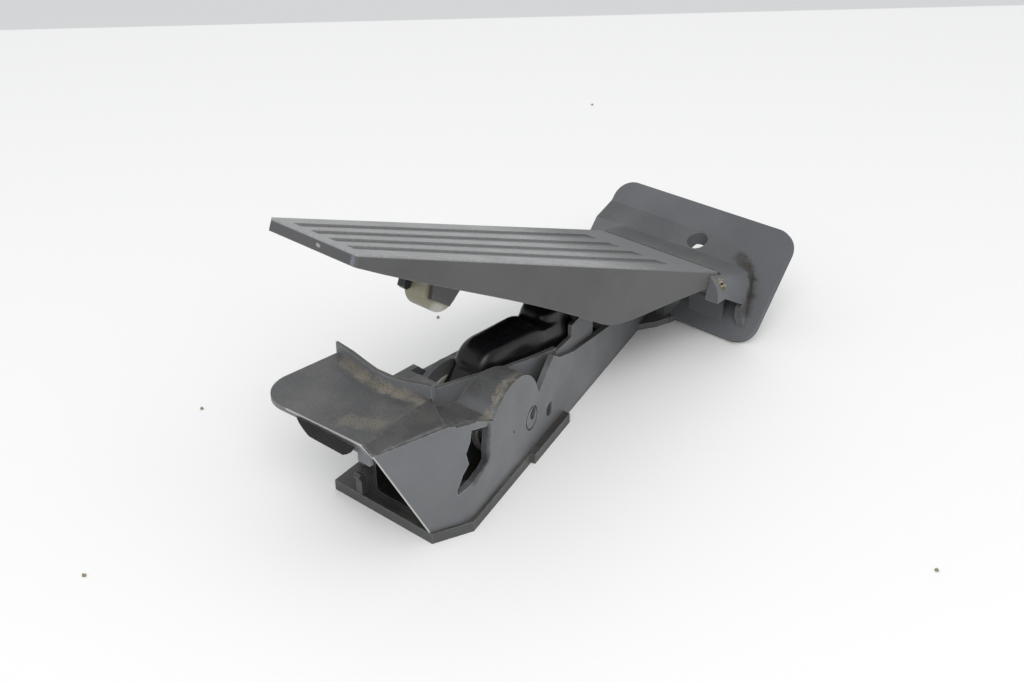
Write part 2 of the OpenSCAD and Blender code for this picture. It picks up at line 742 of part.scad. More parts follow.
// Torsion spring: a coil round the shaft, a leg to its anchor and a hooked end
coil_step = 15;
function coil_path(r, x0, pitch, a0, turns) =
    [for (a = [0:coil_step:360 * turns]) [x0 + pitch * a / 360,
        lever_y + r * cos(a0 + a), lever_z + r * sin(a0 + a)]];
hook_r = 4.2;
hook_y = 160.5;
hook_z = 30;
module return_spring_outer() color(steel) {
    hook = [for (a = [200:-25:-50]) [coil_x0 - 0.9, hook_y + hook_r * cos(a), hook_z + hook_r * sin(a)]];
    path = concat([for (i = [len(hook) - 1:-1:0]) hook[i]], [[coil_x0 - 0.5, 152, 28]],
        coil_path(outer_coil_r, coil_x0, 2 * wire_r + 0.15, 20, spring_turns));
    wire(path, wire_r);
}
module return_spring_inner() color(steel)
    wire(coil_path(inner_coil_r, coil_x0 - 0.1, 2 * inner_wire_r + 0.3, 0, spring_turns), inner_wire_r);

// Sensor board with a hole for the shaft
module sensor_board() color([0.10, 0.30, 0.16]) difference() {
    across(board_x, board_x + board_t) polygon([[122, 7], [160, 7], [163.5, 10], [163.5, 26],
        [160, 29], [152, 32.4], [124, 30], [122, 26]]);
    bar(board_x - 1, board_x + 3, shaft_r + 1, shaft_yz);
}

module sensor_chips() color([0.08, 0.08, 0.09])
    for (p = [[126, 10], [148, 10], [148, 22], [156, 17]])
        translate([board_x + board_t + 0.05, p[0], p[1]]) cube([1, 5, 4]);

// Housing of the plug socket, open towards the toe
socket_x0 = -26.6;
socket_w = 24;
socket_z0 = cover_t;
socket_h = 18;
socket_y0 = 164.5;
socket_depth = 15;
socket_wall = 1.6;
module socket_outline(inset) {
    r = 4 - inset;
    x0 = socket_x0 + inset;
    x1 = socket_x0 + socket_w - inset;
    z0 = socket_z0 + inset;
    z1 = socket_z0 + socket_h - inset;
    translate([x0 + r, z0]) square([x1 - x0 - 2 * r, z1 - z0]);
    translate([x0, z0 + r]) square([x1 - x0, z1 - z0 - 2 * r]);
    for (x = [x0 + r, x1 - r], z = [z0 + r, z1 - r]) translate([x, z]) circle(r, $fn = 24);
}
pin_rows = [socket_z0 + 6, socket_z0 + 12];
pin_columns = [for (k = [1:3]) socket_x0 + socket_w * k / 4];
module connector_housing() color(dark_plastic) difference() {
    translate([0, socket_y0 + socket_depth + 5, 0]) rotate([90, 0, 0])
        linear_extrude(socket_depth + 5) socket_outline(0);
    translate([0, socket_y0 + socket_depth + 6, 0]) rotate([90, 0, 0])
        linear_extrude(socket_depth + 1) socket_outline(socket_wall);
    for (x = pin_columns, z = pin_rows)
        translate([x - 0.6, socket_y0 - 1, z - 0.6]) cube([1.2, 12, 1.2]);
}

// Six contact pins, pressed through the back of the socket
module contact_pins() color([0.72, 0.62, 0.38])
    for (x = pin_columns, z = pin_rows)
        translate([x - 0.5, socket_y0 - 1.5, z - 0.5]) cube([1, 13.5, 1]);

// Rubber pad that the stop block lands on
module landing_pad() color(dark_plastic)
    translate([bracket_near_x - 1, landing_y0, landing_z])
        cube([bracket_far_x - bracket_near_x + 4, 11, landing_t]);

// Side profile of the treadle, from the toe along the skirt's curved lower edge to the heel
function skirt_edge() = concat(
    [for (i = [0:curve_steps]) bezier([pad_length, top_h - toe_depth], skirt_handle[0] + [0, top_h],
        skirt_handle[1] + [0, top_h], belly, i / curve_steps)],
    [for (i = [1:curve_steps]) bezier(belly, belly + [-16, -2.6], [50, -14.5], heel_low, i / curve_steps)]);
module pad_plan(inset) {
    toe = pad_length - (inset > 0 ? toe_wall : 0);
    k = (pad_heel_w - pad_toe_w) / 2 / (pad_length - pad_s0);
    h = pad_heel_w / 2 - inset;
    t = h - k * (toe - pad_s0);
    c = inset > 0 ? 0.5 : 0.7;
    polygon([[-h, pad_s0], [-t, toe - c], [-t + c, toe], [t - c, toe], [t, toe - c], [h, pad_s0]]);
}
groove_s0 = 26;
groove_share = 0.5;
module pad_grooves() {
    heel_pitch = pad_heel_w / (groove_count + 1);
    toe_pitch = (pad_toe_w + 1) / (groove_count + 1);
    s1 = pad_length - groove_border;
    heel_half = heel_pitch * groove_share / 2;
    toe_half = toe_pitch * groove_share / 2;
    for (i = [1:groove_count]) {
        a = (i - (groove_count + 1) / 2) * heel_pitch;
        b = (i - (groove_count + 1) / 2) * toe_pitch;
        translate([0, 0, top_h - groove_depth]) linear_extrude(5)
            polygon([[a - heel_half, groove_s0], [b - toe_half, s1], [b + toe_half, s1],
                [a + heel_half, groove_s0]]);
    }
}
rib_x = [-11.5, 9.7];
module treadle() color(grey_plastic) on_pad() {
    difference() {
        union() {
            intersection() {
                across(-50, 50) polygon(concat([[pad_s0, top_h], [pad_length, top_h]], skirt_edge(),
                    [[pad_s0, top_h - 7.5]]));
                translate([0, 0, -60]) linear_extrude(100) pad_plan(0);
            }
            bar(-pad_heel_w / 2, pad_heel_w / 2, barrel_r);
        }
        difference() {
            intersection() {
                across(-50, 50) polygon([[9, -60], [9, under_h], [pad_length, under_h], [pad_length, -60]]);
                translate([0, 0, -60]) linear_extrude(100) pad_plan(skirt_t);
            }
            // Ribs left standing under the plate
            for (x = rib_x) translate([x, 9, under_h - 6]) cube([1.8, 186, 8]);
            for (s = [32, 106, 132, 182]) translate([-40, s, under_h - 5]) cube([80, 1.6, 7]);
        }
        pad_grooves();
        bar(-60, 60, pin_r + running);
    }
    stop_brackets();
}

// Two brackets that hold the stop block
bracket_near_x = -7;
bracket_far_x = 4;
module stop_brackets() {
    for (x = [bracket_near_x - 2, bracket_far_x])
        across(x, x + 2) polygon([[stop_s - 16, under_h + 0.5], [stop_s + 18, under_h + 0.5],
            [stop_s + 11, -4], [stop_s + 8, -9], [stop_s + 7, -15], [stop_s - 4, -17.5]]);
}

module stop_block() color([0.78, 0.75, 0.62, 0.9]) on_pad() {
    across(bracket_near_x + 0.1, bracket_far_x - 0.1) {
        translate([stop_s, stop_h]) circle(stop_r, $fn = 72);
        polygon([[stop_s - stop_r + 3, stop_h], [stop_s + stop_r, stop_h], [stop_s + stop_r, under_h],
            [stop_s - stop_r + 3, under_h]]);
    }
}

// Hooked clip that keeps the block between its brackets
module stop_clip() color(dark_plastic) on_pad()
    across(bracket_far_x - 3.5, bracket_far_x - 0.1) polygon([[stop_s + stop_r + 0.1, under_h],
        [stop_s + stop_r + 4, under_h], [stop_s + stop_r + 4, -13], [stop_s + stop_r + 2, -14],
        [stop_s + stop_r + 0.1, -13]]);

// Slide shoe: its face follows the path of the lever's nose
shoe_x0 = -7.5;
shoe_x1 = 7.5;
module slide_shoe() color([0.80, 0.79, 0.74]) on_pad() {
    track = [for (i = [0:track_steps]) track_point(treadle_travel + 1.5 - i * track_dt)];
    last = len(track) - 1;
    across(shoe_x0, shoe_x1) polygon(concat([[shoe_s0, under_h]], [[shoe_s0, track[0][1] + 0.4]], track,
        [[shoe_s1, track[last][1] + 0.2], [shoe_s1, under_h]]));
}

// A rounded disc along X, for blending the lever's limbs
edge_r = 4;
module pill(p, r, x0 = lever_x0, w = lever_w) {
    translate([x0, p[0], p[1]]) rotate([0, 90, 0]) rotate_extrude($fn = 32)
        polygon(concat([[0, 0]],
            [for (a = [-90:30:0]) [r - edge_r + edge_r * cos(a), edge_r + edge_r * sin(a)]],
            [for (a = [0:30:90]) [r - edge_r + edge_r * cos(a), w - edge_r + edge_r * sin(a)]],
            [[0, w]]));
}

// Drive lever: a smooth hood over the hub, and a neck that reaches up to the slide shoe
hood_a = [124, 36];
hood_b = [103, 35.4];
hood_r = 12;
stub_r = 6.6;
neck_w = 13;
neck_root_x = -12;
magnet_x0 = far_arch_x + far_arch_t + 0.4;
module drive_lever() color(dark_plastic) difference() {
    union() {
        hull() {
            pill(hood_a, hood_r);
            pill(hood_b, hood_r);
        }
        hull() {
            pill(hood_a, hood_r - 2);
            pill([lever_y - 1, lever_z + 4], 9);
        }
        hull() {
            pill(hood_b, hood_r - 1);
            pill([87, 35], 9, neck_root_x - 1, neck_w + 2);
        }
        hull() {
            pill([88, 42.5], 8, neck_root_x, neck_w + 1.5);
            pill([64, 42], 7, -neck_w / 2, neck_w);
            pill(nose_yz, nose_r, -neck_w / 2, neck_w);
        }
        bar(lever_x0, lever_x1, 10, shaft_yz);
        bar(carrier_x0, magnet_x0 + 1.2, stub_r, shaft_yz);
    }
    bar(carrier_x0 - 1, magnet_x0 + 3, bush_r, shaft_yz);
}

// Plain bush pressed into the lever
module lever_bush() color([0.60, 0.50, 0.30]) difference() {
    bar(carrier_x0, magnet_x0 + 1.2, bush_r, shaft_yz);
    bar(carrier_x0 - 1, magnet_x0 + 3, shaft_r + running, shaft_yz);
}

// Carrier that takes the moving legs of the return springs
module spring_carrier() color(dark_plastic) difference() {
    union() {
        bar(carrier_x0, carrier_x1, 9.5, shaft_yz);
        across(carrier_x0, carrier_x1)
            polygon([[lever_y - 5, lever_z + 6], [lever_y - 4, lever_z + 13.5], [lever_y + 1, lever_z + 13.5],
                [lever_y + 4, lever_z + 6]]);
    }
    bar(carrier_x0 - 1, carrier_x1 + 1, stub_r, shaft_yz);
}

module magnet_ring() color([0.25, 0.25, 0.27]) difference() {
    bar(magnet_x0, magnet_x0 + 1.1, 9.5, shaft_yz);
    bar(magnet_x0 - 1, magnet_x0 + 3, stub_r, shaft_yz);
}

base_frame();
bottom_cover();
cover_screws();
hinge_pin();
pin_cap();
lever_shaft();
shaft_clip();
thrust_washers();
return_spring_outer();
return_spring_inner();
sensor_board();
sensor_chips();
connector_housing();
contact_pins();
landing_pad();
treadle();
slide_shoe();
stop_block();
stop_clip();
drive_lever();
lever_bush();
spring_carrier();
magnet_ring();
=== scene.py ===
# %% [markdown]
# # A floor-hinged accelerator pedal
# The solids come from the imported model, which stays as it is. This script gives them their finishes,
# replaces the springs with round wire, and sets up the table, the light and the camera.
# All lengths are in metres. X runs along the hinge pin, Y from the heel to the toe, Z up.

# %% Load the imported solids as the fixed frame
import math

import bpy
import bmesh
from mathutils import Matrix, Vector, noise


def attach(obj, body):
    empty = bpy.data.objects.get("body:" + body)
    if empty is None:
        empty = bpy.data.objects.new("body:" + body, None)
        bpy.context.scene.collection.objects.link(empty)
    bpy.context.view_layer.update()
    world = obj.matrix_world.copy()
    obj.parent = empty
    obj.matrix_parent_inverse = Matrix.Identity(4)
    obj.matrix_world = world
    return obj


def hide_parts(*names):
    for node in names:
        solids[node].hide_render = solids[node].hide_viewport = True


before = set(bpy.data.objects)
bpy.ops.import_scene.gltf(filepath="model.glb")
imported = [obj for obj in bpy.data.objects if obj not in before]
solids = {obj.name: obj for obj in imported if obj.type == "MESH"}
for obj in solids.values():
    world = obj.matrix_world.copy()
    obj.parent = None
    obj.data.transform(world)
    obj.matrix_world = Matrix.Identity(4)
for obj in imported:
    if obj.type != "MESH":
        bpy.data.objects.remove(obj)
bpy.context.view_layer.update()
print("solids:", len(solids))

# %% [markdown]
# ## Camera
# The photograph looks down from above the toe end. A camera is placed from its position and from the
# three directions of its picture: right, up and back. That is exact, where aiming by eye isn't.

# %% Camera at the photograph's viewing angle
camera_data = bpy.data.cameras.new("pedal_camera")
camera = bpy.data.objects.new("pedal_camera", camera_data)
bpy.context.scene.collection.objects.link(camera)
right = Vector((-0.7536, -0.6574, 0.0))
forward = Vector((0.5693, -0.6526, -0.5))
up = right.cross(forward)
camera.matrix_world = Matrix((
    (right.x, up.x, -forward.x, -0.3329),
    (right.y, up.y, -forward.y, 0.4819),
    (right.z, up.z, -forward.z, 0.3270),
    (0, 0, 0, 1)))
camera_data.lens = 49.2
camera_data.sensor_width = 36
camera_data.clip_start = 0.01
bpy.context.scene.camera = camera

# %% [markdown]
# ## Table and light
# The pedal lies on a white table in soft daylight. An even world gives the fill, and one wide lamp gives
# the light its direction. Together they show a colour about as it is written, so the grey stays grey.

# %% Table top and the wall strip behind it
NEAR_REACH, FAR_REACH, TABLE_DEPTH = 3, 4, 6
STRIP_REACH, STRIP_FRONT, STRIP_DROP = 9, 2, -0.6


def flat_sheet(name, corners):
    mesh = bpy.data.meshes.new(name)
    mesh.from_pydata(corners, [], [tuple(range(len(corners)))])
    sheet = bpy.data.objects.new(name, mesh)
    bpy.context.scene.collection.objects.link(sheet)
    return sheet


# Two points on the table's far edge, as the photograph shows it
edge_a, edge_b = Vector((0.084, -0.619, 0)), Vector((0.643, -0.045, 0))
along = (edge_b - edge_a).normalized()
inward = Vector((-along.y, along.x, 0))
table = flat_sheet("table_top", [
    edge_a - NEAR_REACH * along,
    edge_a + FAR_REACH * along,
    edge_a + FAR_REACH * along + TABLE_DEPTH * inward,
    edge_a - NEAR_REACH * along + TABLE_DEPTH * inward])
wall_strip = flat_sheet("wall_strip", [
    (-STRIP_REACH, -STRIP_REACH, STRIP_DROP), (STRIP_REACH, -STRIP_REACH, STRIP_DROP),
    (STRIP_REACH, STRIP_FRONT, STRIP_DROP), (-STRIP_REACH, STRIP_FRONT, STRIP_DROP)])


def stage_paint(name, colour, roughness):
    paint = bpy.data.materials.new(name)
    paint.use_nodes = True
    shader = paint.node_tree.nodes["Principled BSDF"]
    shader.inputs["Base Color"].default_value = (*colour, 1)
    shader.inputs["Roughness"].default_value = roughness
    return paint


table.data.materials.append(stage_paint("table_white", (0.93, 0.925, 0.91), 0.5))
wall_strip.data.materials.append(stage_paint("wall_grey", (0.82, 0.82, 0.82), 0.8))
print("stage sheets:", table.name, wall_strip.name)

# %% [markdown]
# The light could come from a picture of a room, but two plain sources are easier to read and to change:
# a world that lights every side alike, and a window's worth of light from the toe side.

# %% World fill and one wide lamp
scene = bpy.context.scene
scene.view_settings.view_transform = "Standard"
world = bpy.data.worlds.new("daylight")
scene.world = world
world.use_nodes = True
background = world.node_tree.nodes["Background"]
background.inputs["Color"].default_value = (0.97, 0.985, 1.0, 1)
background.inputs["Strength"].default_value = 0.78


def wide_lamp(name, place, aim, size, watts):
    lamp = bpy.data.lights.new(name, "AREA")
    lamp.shape = "RECTANGLE"
    lamp.size, lamp.size_y = size
    lamp.energy = watts
    holder = bpy.data.objects.new(name, lamp)
    holder.location = place
    holder.rotation_euler = (Vector(aim) - Vector(place)).to_track_quat("-Z", "Y").to_euler()
    bpy.context.scene.collection.objects.link(holder)
    return holder


window_lamp = wide_lamp("window_lamp", (-1.0, 1.2, 1.7), (0, 0.1, 0.03), (1.6, 1.2), 23)
print("window lamp:", window_lamp.data.energy, "W")

# %% [markdown]
# ## Effects that several finishes share
# Moulded plastic looks real through small things: spark-eroded grain, dust that settles on top, dirt in
# the corners, and pale worn edges. Each is one node group with named sockets, so that every finish can
# use it at its own strength.

# %% Helpers that build node groups
def start_group(name, inputs, outputs):
    group = bpy.data.node_groups.new(name, "ShaderNodeTree")
    for label, kind, value in inputs:
        socket = group.interface.new_socket(label, in_out="INPUT", socket_type=kind)
        if value is not None:
            socket.default_value = value
    for label, kind in outputs:
        group.interface.new_socket(label, in_out="OUTPUT", socket_type=kind)
    return group, group.nodes.new("NodeGroupInput"), group.nodes.new("NodeGroupOutput")


def feed(tree, socket, value):
    """Links a socket to another one, or fills it with a constant."""
    if isinstance(value, bpy.types.NodeSocket):
        tree.links.new(value, socket)
    else:
        socket.default_value = value


def node(tree, kind, values=None, **settings):
    """Adds a node, sets its properties, and fills or links its inputs."""
    made = tree.nodes.new(kind)
    for key, value in settings.items():
        setattr(made, key, value)
    for key, value in (values or {}).items():
        feed(tree, made.inputs[key], value)
    return made


def ramp(tree, factor, low, high, to_low=0.0, to_high=1.0):
    """Maps low..high to to_low..to_high, held at both ends."""
    made = node(tree, "ShaderNodeMapRange", interpolation_type="SMOOTHSTEP")
    tree.links.new(factor, made.inputs["Value"])
    for key, value in (("From Min", low), ("From Max", high), ("To Min", to_low), ("To Max", to_high)):
        made.inputs[key].default_value = value
    return made.outputs["Result"]


def maths(tree, operation, a, b):
    return node(tree, "ShaderNodeMath", {0: a, 1: b}, operation=operation).outputs[0]


VEC, NUM = "NodeSocketVector", "NodeSocketFloat"

# %% [markdown]
# A mould's walls are eroded by sparks, which leaves a fine, even grain on the plastic. Real dents would
# need millions of faces, so the grain is a height that a Bump node reads.

# %% Group: spark-eroded grain of a mould
grain_group, g_in, g_out = start_group("moulded_grain",
    [("Vector", VEC, None), ("Grains per metre", NUM, 2600.0)], [("Height", NUM)])
coarse = node(grain_group, "ShaderNodeTexNoise", {"Vector": g_in.outputs["Vector"],
    "Scale": g_in.outputs["Grains per metre"], "Detail": 2.0, "Roughness": 0.6})
pits = node(grain_group, "ShaderNodeTexVoronoi", {"Vector": g_in.outputs["Vector"],
    "Scale": maths(grain_group, "MULTIPLY", g_in.outputs["Grains per metre"], 0.7)})
height = maths(grain_group, "ADD", coarse.outputs["Fac"],
    maths(grain_group, "MULTIPLY", pits.outputs["Distance"], 0.5))
grain_group.links.new(height, g_out.inputs["Height"])

# %% [markdown]
# Dust lies only where a face looks up, and never evenly. The mask is the face's tilt times a coarse and
# a fine noise, so that it comes in patches with specks in them.

# %% Group: dust that settles on faces that look up
dust_group, d_in, d_out = start_group("settled_dust",
    [("Vector", VEC, None), ("Amount", NUM, 0.5), ("Patches per metre", NUM, 45.0)], [("Mask", NUM)])
facing = node(dust_group, "ShaderNodeNewGeometry")
upward = node(dust_group, "ShaderNodeSeparateXYZ", {0: facing.outputs["Normal"]})
lying = ramp(dust_group, upward.outputs["Z"], 0.25, 0.95)
patches = node(dust_group, "ShaderNodeTexNoise", {"Vector": d_in.outputs["Vector"],
    "Scale": d_in.outputs["Patches per metre"], "Detail": 6.0, "Roughness": 0.62})
specks = node(dust_group, "ShaderNodeTexNoise", {"Vector": d_in.outputs["Vector"],
    "Scale": maths(dust_group, "MULTIPLY", d_in.outputs["Patches per metre"], 28.0), "Detail": 2.0})
spread = maths(dust_group, "MULTIPLY", ramp(dust_group, patches.outputs["Fac"], 0.38, 0.68),
    ramp(dust_group, specks.outputs["Fac"], 0.3, 0.62, 0.45, 1.0))
dust_mask = maths(dust_group, "MULTIPLY", maths(dust_group, "MULTIPLY", lying, spread),
    d_in.outputs["Amount"])
dust_group.links.new(dust_mask, d_out.inputs["Mask"])

# %% [markdown]
# Dirt stays where a cloth or a shoe can't reach, and these are also the places where shade falls. Ambient
# occlusion finds such places by itself, which painting each corner by hand wouldn't. Its darkening is dirt
# and painted shade in one.

# %% Group: dirt and painted shade in corners and grooves
dirt_and_shade_group, c_in, c_out = start_group("corner_dirt_and_shade",
    [("Vector", VEC, None), ("Amount", NUM, 0.5)], [("Mask", NUM)])
nook = node(dirt_and_shade_group, "ShaderNodeAmbientOcclusion", {"Distance": 0.006}, samples=8)
breakup = node(dirt_and_shade_group, "ShaderNodeTexNoise", {"Vector": c_in.outputs["Vector"], "Scale": 300.0,
    "Detail": 5.0, "Roughness": 0.65})
hidden = ramp(dirt_and_shade_group, nook.outputs["AO"], 0.85, 0.3)
dirt_and_shade_mask = maths(dirt_and_shade_group, "MULTIPLY", maths(dirt_and_shade_group, "MULTIPLY", hidden,
    ramp(dirt_and_shade_group, breakup.outputs["Fac"], 0.3, 0.6, 0.25, 1.0)), c_in.outputs["Amount"])
dirt_and_shade_group.links.new(dirt_and_shade_mask, c_out.inputs["Mask"])

# %% [markdown]
# Edges go pale with handling. A Bevel node rounds the normal near an edge, and where that normal and
# the true one disagree, there is an edge.

# %% Group: edges rubbed pale by shoes and handling
edge_group, e_in, e_out = start_group("rubbed_edges",
    [("Vector", VEC, None), ("Width", NUM, 0.0006), ("Amount", NUM, 0.5)], [("Mask", NUM)])
rounded = node(edge_group, "ShaderNodeBevel", {"Radius": e_in.outputs["Width"]}, samples=4)
true_normal = node(edge_group, "ShaderNodeNewGeometry")
agree = node(edge_group, "ShaderNodeVectorMath", {0: rounded.outputs["Normal"],
    1: true_normal.outputs["Normal"]}, operation="DOT_PRODUCT")
nicks = node(edge_group, "ShaderNodeTexNoise", {"Vector": e_in.outputs["Vector"], "Scale": 420.0,
    "Detail": 4.0})
edge_mask = maths(edge_group, "MULTIPLY", maths(edge_group, "MULTIPLY",
    ramp(edge_group, agree.outputs["Value"], 0.995, 0.88),
    ramp(edge_group, nicks.outputs["Fac"], 0.35, 0.6, 0.2, 1.0)), e_in.outputs["Amount"])
edge_group.links.new(edge_mask, e_out.inputs["Mask"])

# %% [markdown]
# The upper faces of the base look darker and browner than its walls, as they are worn and dirty. The
# tilt of the face alone tells them apart.

# %% Group: faces that look up
upward_group, u_in, u_out = start_group("upward_faces",
    [("Start", NUM, 0.75), ("Full", NUM, 0.9)], [("Mask", NUM)])
surface = node(upward_group, "ShaderNodeNewGeometry")
height_part = node(upward_group, "ShaderNodeSeparateXYZ", {0: surface.outputs["Normal"]})
up_ramp = node(upward_group, "ShaderNodeMapRange", {"Value": height_part.outputs["Z"],
    "From Min": u_in.outputs["Start"], "From Max": u_in.outputs["Full"]},
    interpolation_type="SMOOTHSTEP")
upward_group.links.new(up_ramp.outputs["Result"], u_out.inputs["Mask"])

# %% [markdown]
# Some marks belong to one place: sand at the foot of a rib, rust at the pin. Each is the distance to a
# line between two points, made ragged with noise, so no picture is needed.

# %% Group: a mark along a line between two places
mark_group, p_in, p_out = start_group("line_mark",
    [("Vector", VEC, None), ("From", VEC, (0, 0, 0)), ("To", VEC, (0, 0, 0.001)), ("Reach", NUM, 0.003),
     ("Ragged", NUM, 1.0)], [("Mask", NUM)])


def vector_maths(tree, operation, values, output="Vector"):
    return node(tree, "ShaderNodeVectorMath", values, operation=operation).outputs[output]


line = vector_maths(mark_group, "SUBTRACT", {0: p_in.outputs["To"], 1: p_in.outputs["From"]})
reach_out = vector_maths(mark_group, "SUBTRACT", {0: p_in.outputs["Vector"], 1: p_in.outputs["From"]})
along_line = vector_maths(mark_group, "DOT_PRODUCT", {0: reach_out, 1: line}, "Value")
line_square = vector_maths(mark_group, "DOT_PRODUCT", {0: line, 1: line}, "Value")
part = node(mark_group, "ShaderNodeClamp", {
    "Value": maths(mark_group, "DIVIDE", along_line, line_square)})
foot = vector_maths(mark_group, "SCALE", {0: line, "Scale": part.outputs[0]})
apart = vector_maths(mark_group, "DISTANCE", {0: reach_out, 1: foot}, "Value")
share = maths(mark_group, "DIVIDE", apart, p_in.outputs["Reach"])
wobble = node(mark_group, "ShaderNodeTexNoise", {"Vector": p_in.outputs["Vector"], "Scale": 260.0,
    "Detail": 6.0, "Roughness": 0.7})
crumbly = node(mark_group, "ShaderNodeTexNoise", {"Vector": p_in.outputs["Vector"], "Scale": 1500.0,
    "Detail": 3.0, "Roughness": 0.7})
shift = maths(mark_group, "MULTIPLY", maths(mark_group, "SUBTRACT", wobble.outputs["Fac"], 0.5),
    maths(mark_group, "MULTIPLY", p_in.outputs["Ragged"], 3.2))
soft_edge = ramp(mark_group, maths(mark_group, "ADD", share, shift), 1.15, 0.35)
holes = maths(mark_group, "MULTIPLY", p_in.outputs["Ragged"],
    ramp(mark_group, crumbly.outputs["Fac"], 0.58, 0.42))
mark_mask = maths(mark_group, "MULTIPLY", soft_edge, maths(mark_group, "SUBTRACT", 1.0,
    maths(mark_group, "MULTIPLY", holes, 0.75)))
mark_group.links.new(mark_mask, p_out.inputs["Mask"])
print("shared effects:", len(bpy.data.node_groups))

# %% [markdown]
# ## Moulded plastic
# The base, the treadle and the cover are glass-filled nylon: a grey that is a little cooler on the base.
# One function lays the grain, the corner dirt with its painted shade and the dust over the base colour in the
# order in which they came to the real pedal, and each finish states its own amounts.

# %% Moulded plastic with dirt and painted shade, dust and rubbed edges
DUST = (0.30, 0.285, 0.25, 1)
# Brown for the corners: dirt, and painted shade where occlusion finds shade
DIRT_AND_SHADE = (0.085, 0.072, 0.055, 1)


def group_node(tree, group, values):
    made = tree.nodes.new("ShaderNodeGroup")
    made.node_tree = group
    for key, value in values.items():
        feed(tree, made.inputs[key], value)
    return made


def mix(tree, kind, mask, under, over):
    """Goes from under to over as the mask rises, for colours (RGBA) or numbers (FLOAT)."""
    made = tree.nodes.new("ShaderNodeMix")
    made.data_type = kind
    for socket, value in zip([s for s in made.inputs if s.enabled], (mask, under, over)):
        feed(tree, socket, value)
    return [s for s in made.outputs if s.enabled][0]


def mix_colour(tree, mask, under, over):
    return mix(tree, "RGBA", mask, under, over)


def moulded_plastic(name, colour, roughness=0.5, grains=2600.0, grain_height=0.00002, dust=0.4,
                    dirt_and_shade=0.4, edges=0.3, edge_colour=(0.40, 0.40, 0.40, 1), top=None, top_plane=None,
                    patches=(), specular=0.5):
    paint = bpy.data.materials.new(name)
    paint.use_nodes = True
    tree = paint.node_tree
    shader = tree.nodes["Principled BSDF"]
    place = tree.nodes.new("ShaderNodeTexCoord").outputs["Object"]
    tone = node(tree, "ShaderNodeTexNoise", {"Vector": place, "Scale": 22.0, "Detail": 4.0})
    darker = tuple(c * 0.86 for c in colour) + (1,)
    lighter = tuple(min(1.0, c * 1.12) for c in colour) + (1,)
    mixed = mix_colour(tree, ramp(tree, tone.outputs["Fac"], 0.3, 0.7), darker, lighter)
    fine = node(tree, "ShaderNodeTexNoise", {"Vector": place, "Scale": 1300.0, "Detail": 3.0})
    mixed = mix_colour(tree, ramp(tree, fine.outputs["Fac"], 0.62, 0.42, 0.0, 0.35), mixed, darker)
    # A top colour over the top faces: on the treadle a light grey, which is painted sheen; on the base and
    # the cover a darker grey
    if top:
        if top_plane:
            # The face lies beyond a plane, so that the grooves' walls belong to it too
            square, low, full = top_plane
            level = node(tree, "ShaderNodeVectorMath", {0: place, 1: square}, operation="DOT_PRODUCT")
            lying_face = ramp(tree, level.outputs["Value"], low, full)
        else:
            lying_face = group_node(tree, upward_group, {}).outputs["Mask"]
        speckle = node(tree, "ShaderNodeTexNoise", {"Vector": place, "Scale": 900.0, "Detail": 3.0})
        blotchy = mix_colour(tree, ramp(tree, speckle.outputs["Fac"], 0.35, 0.65),
                             tuple(c * 0.88 for c in top) + (1,), tuple(c * 1.1 for c in top) + (1,))
        mixed = mix_colour(tree, lying_face, mixed, blotchy)
    rubbed = group_node(tree, edge_group, {"Vector": place, "Amount": edges})
    mixed = mix_colour(tree, rubbed.outputs["Mask"], mixed, edge_colour)
    # Dirt and painted shade: occluded corners are darkened towards brown
    corner = group_node(tree, dirt_and_shade_group, {"Vector": place, "Amount": dirt_and_shade})
    mixed = mix_colour(tree, corner.outputs["Mask"], mixed, DIRT_AND_SHADE)
    settled = group_node(tree, dust_group, {"Vector": place, "Amount": dust})
    mixed = mix_colour(tree, settled.outputs["Mask"], mixed, DUST)
    dull = maths(tree, "ADD", settled.outputs["Mask"], corner.outputs["Mask"])
    for start, end, reach, patch_colour, amount, ragged in patches:
        spot = group_node(tree, mark_group, {"Vector": place, "From": start, "To": end, "Reach": reach,
            "Ragged": ragged})
        strength = maths(tree, "MULTIPLY", spot.outputs["Mask"], amount)
        mixed = mix_colour(tree, strength, mixed, (*patch_colour, 1))
        dull = maths(tree, "ADD", dull, strength)
    tree.links.new(mixed, shader.inputs["Base Color"])
    grain = group_node(tree, grain_group, {"Vector": place, "Grains per metre": grains})
    bump = node(tree, "ShaderNodeBump", {"Height": grain.outputs["Height"], "Strength": 1.0,
        "Distance": grain_height})
    tree.links.new(bump.outputs["Normal"], shader.inputs["Normal"])
    smear = node(tree, "ShaderNodeTexNoise", {"Vector": place, "Scale": 70.0, "Detail": 5.0})
    gloss = ramp(tree, smear.outputs["Fac"], 0.3, 0.7, roughness - 0.07, roughness + 0.07)
    tree.links.new(mix(tree, "FLOAT", dull, gloss, 0.9), shader.inputs["Roughness"])
    shader.inputs["Specular IOR Level"].default_value = specular
    return paint


# %% [markdown]
# The marks' places are points on the pedal itself, in metres, so they stay put from every side.

# %% Colours and places of the marks
SAND = (0.27, 0.245, 0.19)
PALE = (0.50, 0.50, 0.48)
# Dark brown for the hinge block's slope: dirt, and painted shade round its end
BROWN_DIRT_AND_SHADE = (0.030, 0.026, 0.018)
RUST = (0.13, 0.085, 0.035)
DARK = (0.022, 0.022, 0.023)
# Painted shade for the heel end
HEEL_SHADE_TONE = (0.098, 0.102, 0.112)


def chain(points, reach, colour, amount, ragged=1.0):
    """Marks along a row of places, one after the other."""
    return [(a, b, reach, colour, amount, ragged) for a, b in zip(points, points[1:])]


